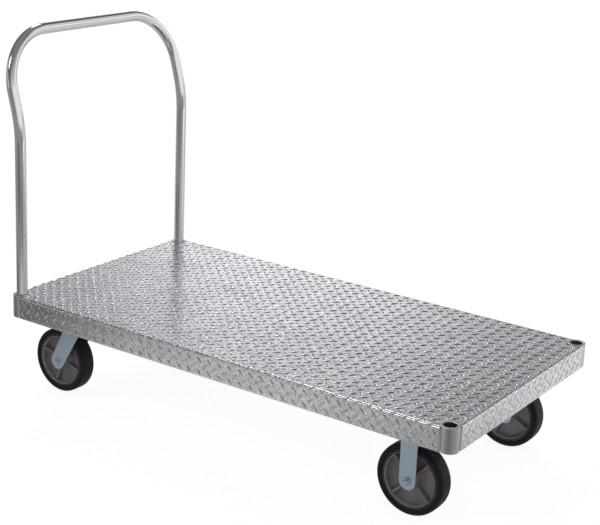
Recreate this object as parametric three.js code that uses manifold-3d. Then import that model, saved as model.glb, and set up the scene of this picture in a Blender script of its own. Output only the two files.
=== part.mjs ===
// A flatbed platform truck: a folded aluminium treadplate deck on two swivel and two rigid casters,
// with a bent-tube push handle that drops into sockets in the deck's corners.
// Millimetres, +Z up. +X points away from the handle, and +Y is the operator's left.

import * as THREE from "three";
import { mergeVertices } from "three/addons/utils/BufferGeometryUtils.js";
import Module from "manifold-3d";

const wasm = await Module();
wasm.setup();

// ---------------------------------------------------------------- driving dimensions

const GAP = 0.3; // between parts that rest on each other
const WELD_GAP = 1; // between frame members whose ends are welded to each other
const JOIN = 1; // how far joined solids run into each other
const OVERSHOOT = 5; // how far a cutter runs past what it cuts
const QUARTER_TURN = Math.PI / 2;

const DECK = { length: 1550, width: 803, top: 326, skirt: 68.5, plate: 4.8, bend: 7 };
const SOCKET = { radius: 27, bore: 18, floor: 5, drain: 5, proud: 1.5, sides: 24 };
const BOLSTER = { length: 680, width: 127, wall: 6 };
const STRINGER = { depth: 50, flange: 25, wall: 4, spacing: 250 };
const CROSS_RIB = { depth: 46, flange: 22, wall: 4 };

const HANDLE = {
  radius: 16.7,
  wall: 3.4,
  top: 1117,
  kneeHeight: 850,
  kneeRadius: 409,
  lean: THREE.MathUtils.degToRad(15.45),
  cornerRadius: 173,
  sides: 10,
  steps: 48,
};

const WHEEL = { radius: 101.6, width: 50.8, sides: 24 };
const TREAD = { crown: 28, edge: 42.8, edgeDrop: 1.5, wallDrop: 6, wallInset: 1 };
const CORE = { radius: 85, rimInner: 76, rimHalf: 23, webReach: 73, webHalf: 4 };
const HUB = { radius: 22, foot: 31, half: 27 };
const RIB = { count: 4, wall: 8, half: 18 };
const BEARING = { outer: 15.7, inner: 9.8, length: 50, sides: 12 };
const SLEEVE = { outer: 9.5, inner: 6.6 };
const WASHER = { outer: 19, inner: 9.8, thick: 3.2 };
const AXLE = { shank: 6.2, headFlats: 19, headHeight: 8, nutHeight: 11, tail: 3 };

const CASTER = { height: 241, lead: 66, rigidX: 600, rigidY: 277, swivelX: -610, swivelY: 263 };
const PLATE = { length: 114, width: 102, thick: 6, holeX: 46, holeY: 38, hole: 5.5, holeSides: 12 };
const FORK = { inside: 62, wall: 5, end: 25, topDisc: 44, topUnder: 217 };
const RIGID_LEG_TOP = [-25.5, 25.5];
const SWIVEL_LEG_TOP = [-36, 30];
const RACE = { inner: 34, outer: 42, raised: 5 };
const KINGPIN = { shank: 8, head: 13.5, headHeight: 5, nutFlats: 24, nutHeight: 10, tail: 4, sides: 12 };

const deckUnderside = DECK.top - DECK.plate;
const skirtFoot = DECK.top - DECK.skirt;
const socketX = DECK.length / 2 - SOCKET.radius;
const socketY = DECK.width / 2 - SOCKET.radius;

// How far the handle's crossbar stands behind its legs, from the knee arc and the straight lean above it.
const kneeStart = HANDLE.kneeHeight - HANDLE.kneeRadius * Math.tan(HANDLE.lean / 2);
const kneeRise = HANDLE.kneeRadius * Math.sin(HANDLE.lean);
const kneeSetback = HANDLE.kneeRadius * (1 - Math.cos(HANDLE.lean));
const leanLength = (HANDLE.top - kneeStart - kneeRise) / Math.cos(HANDLE.lean);
const barSetback = kneeSetback + leanLength * Math.sin(HANDLE.lean);

// The origin is the middle of the whole truck's footprint, so the deck sits a little ahead of it.
const rearReach = socketX + barSetback + HANDLE.radius;
const deckShift = (rearReach - DECK.length / 2) / 2;

// ---------------------------------------------------------------- materials

const metal = (color, roughness) => new THREE.MeshStandardMaterial({ color, roughness, metalness: 1 });
const plain = (color, roughness) => new THREE.MeshStandardMaterial({ color, roughness, metalness: 0 });
const MATERIAL = {
  treadplate: metal(0xb9babd, 0.32),
  aluminium: metal(0xa9abad, 0.45),
  tube: metal(0xc6cbcd, 0.18),
  zinc: metal(0x93a5b2, 0.4),
  core: plain(0x4f4a4b, 0.6),
  rubber: plain(0x141313, 0.75),
  steel: metal(0x8d8f92, 0.35),
};

// ---------------------------------------------------------------- solids

function solidOf(geometry) {
  const bare = geometry.clone();
  bare.deleteAttribute("normal");
  bare.deleteAttribute("uv");
  const merged = mergeVertices(bare, 1e-3);
  return new wasm.Manifold(
    new wasm.Mesh({
      numProp: 3,
      vertProperties: merged.attributes.position.array,
      triVerts: new Uint32Array(merged.index.array),
    }),
  );
}

function geometryOf(solid) {
  const mesh = solid.getMesh();
  const indexed = new THREE.BufferGeometry();
  indexed.setAttribute("position", new THREE.BufferAttribute(mesh.vertProperties, 3));
  indexed.setIndex(new THREE.BufferAttribute(mesh.triVerts, 1));
  const flat = indexed.toNonIndexed();
  flat.computeVertexNormals();
  return flat;
}

function joined(first, ...rest) {
  return geometryOf(rest.reduce((whole, piece) => whole.add(solidOf(piece)), solidOf(first)));
}

function cut(body, ...cutters) {
  return geometryOf(cutters.reduce((left, cutter) => left.subtract(solidOf(cutter)), solidOf(body)));
}

// A box between two corners.
function block(x0, x1, y0, y1, z0, z1) {
  const box = new THREE.BoxGeometry(x1 - x0, y1 - y0, z1 - z0);
  return box.translate((x0 + x1) / 2, (y0 + y1) / 2, (z0 + z1) / 2);
}

// A closed body of revolution about Z through [radius, height] points, counter-clockwise in that plane.
function turned(points, sides) {
  const profile = points.map(([radius, height]) => new THREE.Vector2(radius, height));
  profile.push(profile[0].clone());
  return new THREE.LatheGeometry(profile, sides).rotateX(QUARTER_TURN);
}

// The corner radius of a regular polygon whose flats lie at the given radius.
function aroundFlats(radius, sides) {
  return radius / Math.cos(Math.PI / sides);
}

function rod(radius, z0, z1, sides) {
  const cylinder = new THREE.CylinderGeometry(radius, radius, z1 - z0, sides);
  return cylinder.rotateX(QUARTER_TURN).translate(0, 0, (z0 + z1) / 2);
}

function ring(inner, outer, z0, z1, sides) {
  return turned([[inner, z0], [outer, z0], [outer, z1], [inner, z1]], sides);
}

// A hexagon prism about Z, measured across its flats.
function hexagon(flats, z0, z1) {
  return rod(aroundFlats(flats / 2, 6), z0, z1, 6);
}

// An outline extruded along +Z from z0 to z1.
function extruded(shape, z0, z1, curveSegments = 6) {
  const settings = { depth: z1 - z0, bevelEnabled: false, curveSegments };
  return new THREE.ExtrudeGeometry(shape, settings).translate(0, 0, z0);
}

// A channel along +X: a web at z 0 and two flanges that rise from it, centred on Y.
function channel(length, width, height, wall) {
  const half = width / 2;
  const outline = new THREE.Shape();
  outline.moveTo(-half, 0);
  outline.lineTo(half, 0);
  outline.lineTo(half, height);
  outline.lineTo(half - wall, height);
  outline.lineTo(half - wall, wall);
  outline.lineTo(-half + wall, wall);
  outline.lineTo(-half + wall, height);
  outline.lineTo(-half, height);
  outline.closePath();
  return extruded(outline, -length / 2, length / 2).rotateX(QUARTER_TURN).rotateZ(QUARTER_TURN);
}

// ---------------------------------------------------------------- the assembly

const truck = new THREE.Group();
const chassis = new THREE.Group();
chassis.position.x = deckShift;
truck.add(chassis);

function place(parent, name, geometry, material, position = [0, 0, 0]) {
  const mesh = new THREE.Mesh(geometry, material);
  mesh.name = name;
  mesh.position.set(...position);
  parent.add(mesh);
  return mesh;
}

const ENDS = [["rear", -1], ["front", 1]];
const SIDES = [["left", 1], ["right", -1]];

// ---------------------------------------------------------------- deck

// A tray turned upside down with its upper edges rolled round: the deck's outside, or its inside.
function tray(inset, bend, foot) {
  const x = DECK.length / 2 - inset - bend;
  const y = DECK.width / 2 - inset - bend;
  const outline = new THREE.Shape();
  outline.moveTo(-x, -y);
  outline.lineTo(x, -y);
  outline.lineTo(x, y);
  outline.lineTo(-x, y);
  outline.closePath();
  const top = DECK.top - inset;
  const rolled = new THREE.ExtrudeGeometry(outline, {
    depth: top - bend - foot,
    bevelThickness: bend,
    bevelSize: bend,
    bevelSegments: 4,
  }).translate(0, 0, foot);
  const reach = bend + OVERSHOOT;
  const below = block(-x - reach, x + reach, -y - reach, y + reach, foot - reach, foot);
  return solidOf(rolled).subtract(solidOf(below));
}

// What one corner of the folded sheet leaves free for its socket: a round notch and square skirt ends.
function cornerNotch() {
  const reach = SOCKET.radius + GAP;
  const skirtDepth = DECK.plate;
  const skirtEnd = SOCKET.radius + Math.sqrt(reach ** 2 - (SOCKET.radius - skirtDepth) ** 2);
  const low = skirtFoot - OVERSHOOT;
  const high = DECK.top + OVERSHOOT;
  const round = rod(reach, low, high, SOCKET.sides).translate(-SOCKET.radius, -SOCKET.radius, 0);
  return [
    round,
    block(-skirtEnd, OVERSHOOT, -skirtDepth, OVERSHOOT, low, high),
    block(-skirtDepth, OVERSHOOT, -skirtEnd, OVERSHOOT, low, high),
    block(-SOCKET.radius, OVERSHOOT, -SOCKET.radius, OVERSHOOT, low, high),
  ];
}

function treadDeck() {
  let sheet = tray(0, DECK.bend, skirtFoot);
  sheet = sheet.subtract(tray(DECK.plate, DECK.bend - DECK.plate, skirtFoot - OVERSHOOT));
  for (const [, end] of ENDS) {
    for (const [, side] of SIDES) {
      for (const cutter of cornerNotch()) {
        const turn = end === side ? (end > 0 ? 0 : 2) : (end > 0 ? 3 : 1);
        cutter.rotateZ(turn * QUARTER_TURN).translate((end * DECK.length) / 2, (side * DECK.width) / 2, 0);
        sheet = sheet.subtract(solidOf(cutter));
      }
    }
  }
  return geometryOf(sheet);
}

// A cup with a drain hole, which holds one handle leg or stake.
function cornerSocket() {
  const top = DECK.top + SOCKET.proud;
  const floorTop = skirtFoot + SOCKET.floor;
  return turned(
    [
      [SOCKET.drain, skirtFoot],
      [SOCKET.radius, skirtFoot],
      [SOCKET.radius, top],
      [SOCKET.bore, top],
      [SOCKET.bore, floorTop],
      [SOCKET.drain, floorTop],
    ],
    SOCKET.sides,
  );
}

place(chassis, "tread_deck", treadDeck(), MATERIAL.treadplate);
for (const [endName, end] of ENDS) {
  for (const [sideName, side] of SIDES) {
    const at = [end * socketX, side * socketY, 0];
    place(chassis, `corner_socket_${endName}_${sideName}`, cornerSocket(), MATERIAL.aluminium, at);
  }
}

// Two wide channels lie across the deck over the casters, with their webs down as mounting pads.
const bolsterHeight = deckUnderside - GAP - (CASTER.height + GAP);
for (const [endName, x] of [["rear", CASTER.swivelX], ["front", CASTER.rigidX]]) {
  const shape = channel(BOLSTER.length, BOLSTER.width, bolsterHeight, BOLSTER.wall).rotateZ(QUARTER_TURN);
  place(chassis, `caster_bolster_${endName}`, shape, MATERIAL.aluminium, [x, 0, CASTER.height + GAP]);
}

// Three stringers run between the bolsters. The middle of the deck has two short cross ribs between them.
const stringerLength = CASTER.rigidX - CASTER.swivelX - BOLSTER.width - 2 * WELD_GAP;
const stringerX = (CASTER.rigidX + CASTER.swivelX) / 2;
const stringerFoot = deckUnderside - GAP - STRINGER.depth;
const STRINGERS = [["left", 1], ["centre", 0], ["right", -1]];
for (const [name, side] of STRINGERS) {
  const shape = channel(stringerLength, 2 * STRINGER.flange, STRINGER.depth, STRINGER.wall);
  const at = [stringerX, side * STRINGER.spacing, stringerFoot];
  place(chassis, `stringer_${name}`, shape, MATERIAL.aluminium, at);
}
const ribLength = STRINGER.spacing - 2 * STRINGER.flange - 2 * WELD_GAP;
const ribFoot = deckUnderside - GAP - CROSS_RIB.depth;
for (const [name, side] of SIDES) {
  const width = 2 * CROSS_RIB.flange;
  const shape = channel(ribLength, width, CROSS_RIB.depth, CROSS_RIB.wall).rotateZ(QUARTER_TURN);
  const at = [stringerX, (side * STRINGER.spacing) / 2, ribFoot];
  place(chassis, `cross_rib_${name}`, shape, MATERIAL.aluminium, at);
}

// ---------------------------------------------------------------- push handle

// The handle's centreline by length along it: up a leg, back through the knee, round a corner, and across.
class HandleLine extends THREE.Curve {
  constructor() {
    super();
    this.foot = skirtFoot + SOCKET.floor + GAP;
    this.kneeLength = HANDLE.kneeRadius * HANDLE.lean;
    this.legLength = kneeStart - this.foot + this.kneeLength + leanLength - HANDLE.cornerRadius;
    this.cornerLength = HANDLE.cornerRadius * QUARTER_TURN;
    this.halfBar = socketY - HANDLE.cornerRadius;
    this.half = this.legLength + this.cornerLength + this.halfBar;
  }

  // Setback and height at a distance up the leg, with the corner's part of it counted straight.
  profile(distance) {
    const above = distance - (kneeStart - this.foot);
    if (above <= 0) return [0, this.foot + distance];
    if (above <= this.kneeLength) {
      const angle = above / HANDLE.kneeRadius;
      return [HANDLE.kneeRadius * (1 - Math.cos(angle)), kneeStart + HANDLE.kneeRadius * Math.sin(angle)];
    }
    const straight = above - this.kneeLength;
    const setback = kneeSetback + straight * Math.sin(HANDLE.lean);
    return [setback, kneeStart + kneeRise + straight * Math.cos(HANDLE.lean)];
  }

  getPoint(share, target = new THREE.Vector3()) {
    const along = share * 2 * this.half;
    const side = along <= this.half ? -1 : 1;
    const distance = Math.min(along, 2 * this.half - along);
    const turn = Math.min(Math.max(distance - this.legLength, 0) / HANDLE.cornerRadius, QUARTER_TURN);
    const upLeg = Math.min(distance, this.legLength) + HANDLE.cornerRadius * Math.sin(turn);
    const across = Math.max(distance - this.legLength - this.cornerLength, 0);
    const inward = HANDLE.cornerRadius * (1 - Math.cos(turn)) + across;
    const [setback, height] = this.profile(upLeg);
    return target.set(-socketX - setback, side * (socketY - inward), height);
  }
}

function circleOutline(radius, sides) {
  return Array.from({ length: sides }, (_, i) => {
    const angle = (2 * Math.PI * i) / sides;
    return new THREE.Vector2(radius * Math.cos(angle), radius * Math.sin(angle));
  });
}

function pushHandle() {
  const section = new THREE.Shape(circleOutline(HANDLE.radius, HANDLE.sides));
  section.holes.push(new THREE.Path(circleOutline(HANDLE.radius - HANDLE.wall, HANDLE.sides).reverse()));
  return new THREE.ExtrudeGeometry(section, { steps: HANDLE.steps, extrudePath: new HandleLine() });
}

place(chassis, "push_handle", pushHandle(), MATERIAL.tube);

// ---------------------------------------------------------------- wheels

// The flats of the faceted tread lie at the wheel's real radius, and one of them rests on the floor.
function tyre() {
  const outer = aroundFlats(WHEEL.radius, WHEEL.sides);
  const half = WHEEL.width / 2;
  const inner = aroundFlats(CORE.radius + GAP, WHEEL.sides);
  return turned(
    [
      [inner, -half + TREAD.wallInset],
      [outer - TREAD.wallDrop, -half],
      [outer - TREAD.edgeDrop, -TREAD.edge / 2],
      [outer, -TREAD.crown / 2],
      [outer, TREAD.crown / 2],
      [outer - TREAD.edgeDrop, TREAD.edge / 2],
      [outer - TREAD.wallDrop, half],
      [inner, half - TREAD.wallInset],
    ],
    WHEEL.sides,
  ).rotateZ(Math.PI / WHEEL.sides);
}

function wheelCore() {
  const bore = aroundFlats(BEARING.outer + GAP, WHEEL.sides);
  const body = turned(
    [
      [bore, -HUB.half],
      [HUB.radius, -HUB.half],
      [HUB.foot, -CORE.webHalf],
      [CORE.webReach, -CORE.webHalf],
      [CORE.rimInner, -CORE.rimHalf],
      [CORE.radius, -CORE.rimHalf],
      [CORE.radius, CORE.rimHalf],
      [CORE.rimInner, CORE.rimHalf],
      [CORE.webReach, CORE.webHalf],
      [HUB.foot, CORE.webHalf],
      [HUB.radius, HUB.half],
      [bore, HUB.half],
    ],
    WHEEL.sides,
  );
  const inward = HUB.radius - JOIN;
  const outward = CORE.rimInner + JOIN;
  const ribs = Array.from({ length: RIB.count }, (_, i) => {
    const rib = block(inward, outward, -RIB.wall / 2, RIB.wall / 2, -RIB.half, RIB.half);
    return rib.rotateZ((2 * Math.PI * i) / RIB.count);
  });
  return joined(body, ...ribs);
}

// The wheel's rest angle turns its ribs, as each wheel stopped where it happened to.
function placeWheel(parent, name, restAngle) {
  const axleEnd = FORK.inside / 2;
  const outerFace = axleEnd + FORK.wall + GAP;
  const wheel = new THREE.Group();
  wheel.position.z = WHEEL.radius;
  wheel.rotation.x = QUARTER_TURN;
  parent.add(wheel);

  place(wheel, `tyre_${name}`, tyre(), MATERIAL.rubber);
  place(wheel, `wheel_core_${name}`, wheelCore(), MATERIAL.core).rotation.z = restAngle;
  const bearingHalf = BEARING.length / 2;
  const bearing = ring(BEARING.inner, BEARING.outer, -bearingHalf, bearingHalf, BEARING.sides);
  place(wheel, `roller_bearing_${name}`, bearing, MATERIAL.steel);

  const sleeveHalf = axleEnd - GAP;
  const sleeve = ring(SLEEVE.inner, SLEEVE.outer, -sleeveHalf, sleeveHalf, BEARING.sides);
  place(wheel, `axle_sleeve_${name}`, sleeve, MATERIAL.steel);
  const washerFace = HUB.half + GAP;
  for (const [sideName, z] of [["inner", washerFace], ["outer", -washerFace - WASHER.thick]]) {
    const washer = ring(WASHER.inner, WASHER.outer, z, z + WASHER.thick, BEARING.sides);
    place(wheel, `hub_washer_${sideName}_${name}`, washer, MATERIAL.zinc);
  }

  const nutEnd = outerFace + AXLE.nutHeight;
  const shank = rod(AXLE.shank, -outerFace - JOIN, nutEnd + AXLE.tail, BEARING.sides);
  const bolt = joined(hexagon(AXLE.headFlats, -outerFace - AXLE.headHeight, -outerFace), shank);
  place(wheel, `axle_bolt_${name}`, bolt, MATERIAL.zinc);
  const nut = cut(
    hexagon(AXLE.headFlats, outerFace, nutEnd),
    rod(AXLE.shank + GAP, outerFace - OVERSHOOT, nutEnd + OVERSHOOT, BEARING.sides),
  );
  place(wheel, `axle_nut_${name}`, nut, MATERIAL.zinc);
}

// ---------------------------------------------------------------- casters

// The bolt plate, with a hole near each corner.
function boltPlate() {
  const low = CASTER.height - PLATE.thick;
  const x = PLATE.length / 2;
  const y = PLATE.width / 2;
  const holes = [[1, 1], [1, -1], [-1, 1], [-1, -1]].map(([sx, sy]) =>
    rod(PLATE.hole, low - OVERSHOOT, CASTER.height + OVERSHOOT, PLATE.holeSides)
      .translate(sx * PLATE.holeX, sy * PLATE.holeY, 0),
  );
  return cut(block(-x, x, -y, y, low, CASTER.height), ...holes);
}

// One flat fork leg in the XZ plane, from the top edge to a round end about the axle at (endX, WHEEL.radius).
// Its edges are the tangents from the top corners to that round end.
function forkLeg(topRear, topFront, top, endX) {
  const endZ = WHEEL.radius;
  const tangentAngle = (cornerX, side) => {
    const toCorner = Math.atan2(top - endZ, cornerX - endX);
    const distance = Math.hypot(top - endZ, cornerX - endX);
    return toCorner + side * Math.acos(FORK.end / distance);
  };
  const rear = tangentAngle(topRear, 1);
  const front = tangentAngle(topFront, -1);
  const outline = new THREE.Shape();
  outline.moveTo(topFront, top);
  outline.lineTo(topRear, top);
  outline.lineTo(endX + FORK.end * Math.cos(rear), endZ + FORK.end * Math.sin(rear));
  outline.absarc(endX, endZ, FORK.end, rear, front + 2 * Math.PI, false);
  outline.closePath();
  return extruded(outline, 0, FORK.wall).rotateX(QUARTER_TURN);
}

// Both legs, joined to what is above them and bored for the axle.
function forkWithLegs(head, topRear, topFront, top, endX) {
  const inside = FORK.inside / 2;
  const legs = [inside + FORK.wall, -inside].map((y) => {
    return forkLeg(topRear, topFront, top, endX).translate(0, y, 0);
  });
  const reach = inside + FORK.wall + OVERSHOOT;
  const bore = rod(AXLE.shank + GAP, -reach, reach, BEARING.sides)
    .rotateX(QUARTER_TURN)
    .translate(endX, 0, WHEEL.radius);
  return cut(joined(head, ...legs), bore);
}

function rigidFork() {
  return forkWithLegs(boltPlate(), ...RIGID_LEG_TOP, CASTER.height - PLATE.thick + JOIN, 0);
}

function swivelFork() {
  const discTop = FORK.topUnder + FORK.wall;
  const disc = ring(KINGPIN.shank + GAP, FORK.topDisc, FORK.topUnder, discTop, SOCKET.sides);
  return forkWithLegs(disc, ...SWIVEL_LEG_TOP, FORK.topUnder + JOIN, -CASTER.lead);
}

function swivelTopPlate() {
  const low = CASTER.height - PLATE.thick;
  const raceFoot = low - RACE.raised;
  const pocketFoot = CASTER.height - KINGPIN.headHeight - GAP;
  const pocket = rod(KINGPIN.head + GAP, pocketFoot, CASTER.height + OVERSHOOT, KINGPIN.sides);
  const bore = rod(KINGPIN.shank + GAP, raceFoot - OVERSHOOT, CASTER.height, KINGPIN.sides);
  const race = rod(RACE.outer, raceFoot, low + JOIN, SOCKET.sides);
  return cut(joined(boltPlate(), race), pocket, bore);
}

function kingpin() {
  const headTop = CASTER.height - GAP;
  const nutFoot = FORK.topUnder - GAP - KINGPIN.nutHeight;
  const head = rod(KINGPIN.head, headTop - KINGPIN.headHeight + GAP, headTop, KINGPIN.sides);
  return joined(head, rod(KINGPIN.shank, nutFoot - KINGPIN.tail, headTop - JOIN, KINGPIN.sides));
}

function kingpinNut() {
  const nutTop = FORK.topUnder - GAP;
  const nutFoot = nutTop - KINGPIN.nutHeight;
  const bore = rod(KINGPIN.shank + GAP, nutFoot - OVERSHOOT, nutTop + OVERSHOOT, KINGPIN.sides);
  return cut(hexagon(KINGPIN.nutFlats, nutFoot, nutTop), bore);
}

const ballRaceFoot = FORK.topUnder + FORK.wall + GAP;
const ballRaceTop = CASTER.height - PLATE.thick - RACE.raised - GAP;
const REST_ANGLES = { rear_right: -0.31, rear_left: 0.5, front_right: 0.8, front_left: 1.1 };

for (const [sideName, side] of SIDES) {
  const swivel = new THREE.Group();
  swivel.position.set(CASTER.swivelX, side * CASTER.swivelY, 0);
  chassis.add(swivel);
  place(swivel, `swivel_plate_${sideName}`, swivelTopPlate(), MATERIAL.zinc);
  const balls = ring(RACE.inner, RACE.outer, ballRaceFoot, ballRaceTop, SOCKET.sides);
  place(swivel, `swivel_ball_race_${sideName}`, balls, MATERIAL.steel);
  place(swivel, `kingpin_${sideName}`, kingpin(), MATERIAL.zinc);
  place(swivel, `kingpin_nut_${sideName}`, kingpinNut(), MATERIAL.zinc);
  place(swivel, `swivel_fork_${sideName}`, swivelFork(), MATERIAL.zinc);
  const trailing = new THREE.Group();
  trailing.position.x = -CASTER.lead;
  swivel.add(trailing);
  placeWheel(trailing, `rear_${sideName}`, REST_ANGLES[`rear_${sideName}`]);

  const rigid = new THREE.Group();
  rigid.position.set(CASTER.rigidX, side * CASTER.rigidY, 0);
  chassis.add(rigid);
  place(rigid, `rigid_fork_${sideName}`, rigidFork(), MATERIAL.zinc);
  placeWheel(rigid, `front_${sideName}`, REST_ANGLES[`front_${sideName}`]);
}

export default truck;
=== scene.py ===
"""The looks of a flatbed platform truck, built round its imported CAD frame.

Metres, in the frame's own axes: +X points away from the handle, +Y is the operator's left and +Z is up.
"""

import math

import bpy
import numpy as np
from mathutils import Matrix, Vector


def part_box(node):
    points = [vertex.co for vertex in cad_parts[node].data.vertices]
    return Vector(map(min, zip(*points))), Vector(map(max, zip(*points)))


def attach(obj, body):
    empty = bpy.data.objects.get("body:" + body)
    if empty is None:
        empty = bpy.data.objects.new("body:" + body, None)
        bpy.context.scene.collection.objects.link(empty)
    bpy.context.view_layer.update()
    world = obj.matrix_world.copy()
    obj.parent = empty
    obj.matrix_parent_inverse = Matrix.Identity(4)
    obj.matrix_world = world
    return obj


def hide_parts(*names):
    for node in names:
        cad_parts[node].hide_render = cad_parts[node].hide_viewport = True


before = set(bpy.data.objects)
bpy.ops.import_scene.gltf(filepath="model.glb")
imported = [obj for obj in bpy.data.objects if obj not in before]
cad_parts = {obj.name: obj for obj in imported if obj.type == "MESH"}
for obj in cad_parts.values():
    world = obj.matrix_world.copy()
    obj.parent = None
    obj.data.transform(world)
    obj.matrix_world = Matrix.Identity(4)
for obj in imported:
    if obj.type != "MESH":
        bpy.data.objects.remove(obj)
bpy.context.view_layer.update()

# ---- driving dimensions

ENDS = {"rear": -1, "front": 1}
SIDES = {"left": 1, "right": -1}
UP = Vector((0, 0, 1))
MM = 0.001

PLATE = 4.8 * MM
BEND = 7 * MM
SOCKET_BORE = 18 * MM
SOCKET_FLOOR = 5 * MM
SOCKET_DRAIN = 5 * MM
NOTCH_GAP = 0.3 * MM

LUG_PITCH = 35.8 * MM
LUG_LENGTH = 27 * MM
LUG_WIDTH = 8 * MM
LUG_HEIGHT = 2.1 * MM
LUG_SUNK = 0.3 * MM
LUG_START = (-14.8 * MM, -8.2 * MM)  # one lug's middle, from the deck's
SHEET_CROWN = 0.72  # the bare sheet, on the scale from 0 at a lug's foot to 1 along its crest

TUBE_RADIUS = 16.7 * MM
TUBE_BORE = 13.3 * MM
TUBE_TOP = 1117 * MM
KNEE_HEIGHT = 850 * MM
KNEE_RADIUS = 409 * MM
TUBE_LEAN = math.radians(15.45)
TUBE_CORNER = 173 * MM

WHEEL_RADIUS = 101.6 * MM
WHEEL_WIDTH = 50.8 * MM
CORE_RADIUS = 85 * MM
RIM_INNER = 76 * MM
HUB_RADIUS = 22 * MM
CORE_RIBS = 4
AXLE_RADIUS = 6.1 * MM
AXLE_BORE = 6.6 * MM
AXLE_HEX = 19 * MM
HUB_WASHER = 3.2 * MM
FORK_INSIDE = 62 * MM
FORK_WALL = 5 * MM
FORK_END = 25 * MM
RIGID_LEG_HALF = 25.5 * MM
SWIVEL_LEG = (-36 * MM, 30 * MM)
SWIVEL_DISC_LOW = 217 * MM
SWIVEL_DISC_RADIUS = 44 * MM
BOLSTER_WALL = 6 * MM
BRACE_WALL = 4 * MM
CASTER_HEIGHT = 241 * MM
PLATE_THICK = 6 * MM
PLATE_UNDER = CASTER_HEIGHT - PLATE_THICK
PLATE_HOLES = (46 * MM, 38 * MM)
REST_ANGLES = {"rear_right": -0.31, "rear_left": 0.5, "front_right": 0.8, "front_left": 1.1}

CAMERA_AT = (2.3083, -3.3187, 1.7916)
CAMERA_AZIMUTH = math.radians(34.318)
CAMERA_PITCH = math.radians(15.487)
CAMERA_ROLL = math.radians(2.382)
CAMERA_LENS = 85.812
CAMERA_SHIFT = -0.0958

FLOOR_REACH = 90
FLOOR_WHITE = 0.9  # where it is looked at; the rest is how it lights the truck
FLOOR_DARK = 0.19
FLOOR_LEAST = 0.02
FLOOR_RISE = 0.34  # how much brighter it is behind the truck
FLOOR_BACK = (-1.0, 0.9)  # from where to where, along y, it brightens
# Round patches of the floor: the middle's x and y, the radius, and how much brighter or darker it is.
FLOOR_POOLS = [
    (-0.2, -0.95, 0.95, 0.29),
    (-1.5, -1.0, 0.9, -0.16),
    (1.15, -1.3, 0.75, -0.15),
    (0.75, -0.55, 0.35, 0.12),
    (1.3, 1.1, 1.2, 0.2),
    (2.9, 1.2, 1.5, 0.6),
    (4.6, -1.2, 2.2, -0.3),
    (-0.4, -3.3, 1.9, -0.16),
    (-2.1, 1.7, 1.5, -0.4),
    (2.0, 3.6, 1.5, 0.5),
    (0.3, 4.2, 1.6, -0.4),
]
# The surroundings. Angles are in degrees: elevations, and azimuths from +Y to -X.
SKY_DARK = 0.12
CEILING_GLOW = 0.12
CEILING_EDGE = (40, 70)
CAMERA_SIDE = (255, 30, 65)  # azimuth, half width, half width faded out
CAMERA_SIDE_EDGE = (65, 20)
CAMERA_SIDE_GLOW = 0.5
LOW_GLOW = 0.4
LOW_EDGE = (25, 16)
# Brighter and darker parts of the low glow: azimuth, half width, half width faded out, and gain.
LOW_PATCHES = [
    (22, 8, 26, 0.3),
    (34.5, 1, 9, 0.8),
    (195, 20, 45, -0.36),
]
# Bright patches, as softboxes would be: azimuth, half width, lower edge, upper edge, and gain.
LAMPS = [
    (41, 5, 35, 47, 8.0),
    (151, 7, 31, 47, 5.0),
    (163, 5, 1, 12, 0.5),
    (-28, 18, 2, 42, 0.6),
]
LAMP_EDGE = 4

deck_low, deck_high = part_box("tread_deck")
deck_middle = (deck_low + deck_high) / 2
half_length = (deck_high.x - deck_low.x) / 2
half_width = (deck_high.y - deck_low.y) / 2
deck_top = deck_high.z
skirt_foot = deck_low.z
socket_low, socket_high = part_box("corner_socket_front_left")
socket_radius = (socket_high.x - socket_low.x) / 2
notch_reach = socket_radius + NOTCH_GAP

# ---- shells


class Shell:
    """The closed surfaces of one piece, gathered part by part."""

    def __init__(self):
        self.points = []
        self.faces = []

    def add(self, points, faces, place=None):
        first = len(self.points)
        placed = [place @ Vector(p) for p in points] if place else [Vector(p) for p in points]
        self.points.extend(placed)
        self.faces.extend(tuple(first + i for i in face) for face in faces)

    def skin(self, rings, place=None, looped=False):
        """A surface over rings of equal point counts. Its ends are capped, unless it loops."""
        count = len(rings[0])
        points = [p for ring in rings for p in ring]
        faces = []
        for k in range(len(rings) if looped else len(rings) - 1):
            low = k * count
            high = ((k + 1) % len(rings)) * count
            for i in range(count):
                j = (i + 1) % count
                faces.append((low + i, low + j, high + j, high + i))
        if not looped:
            faces.append(tuple(range(count))[::-1])
            faces.append(tuple(range(len(points) - count, len(points))))
        self.add(points, faces, place)

    def spin(self, outline, sides=64, place=None):
        """A closed outline of (radius, height) points turned about Z, as for a ring or a tyre."""
        rings = []
        for k in range(sides):
            angle = -2 * math.pi * k / sides
            rings.append([(r * math.cos(angle), r * math.sin(angle), z) for r, z in outline])
        self.skin(rings, place, looped=True)

    def stack(self, sections, sides=32, place=None):
        """A solid about Z through circles of (radius, height), lowest first."""
        turn = [2 * math.pi * k / sides for k in range(sides)]
        rings = [[(r * math.cos(a), r * math.sin(a), z) for a in turn] for r, z in sections]
        self.skin(rings, place)

    def prism(self, outline, low, high, bevel, place=None):
        """A flat outline raised along Z, with both of its rims bevelled."""
        inner = inset(outline, bevel)
        sections = [(inner, low), (outline, low + bevel), (outline, high - bevel), (inner, high)]
        self.skin([[(x, y, z) for x, y in line] for line, z in sections], place)


def inset(outline, amount):
    """The outline moved inwards; it runs counter-clockwise."""
    sharpest = 0.4  # so that a sharp corner moves no further
    moved = []
    for i, corner in enumerate(outline):
        before = Vector(corner) - Vector(outline[i - 1])
        after = Vector(outline[(i + 1) % len(outline)]) - Vector(corner)
        normals = [Vector((-edge.y, edge.x)).normalized() for edge in (before, after)]
        middle = (normals[0] + normals[1]).normalized()
        reach = amount / max(sharpest, middle.dot(normals[0]))
        moved.append(tuple(Vector(corner) + middle * reach))
    return moved


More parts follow.
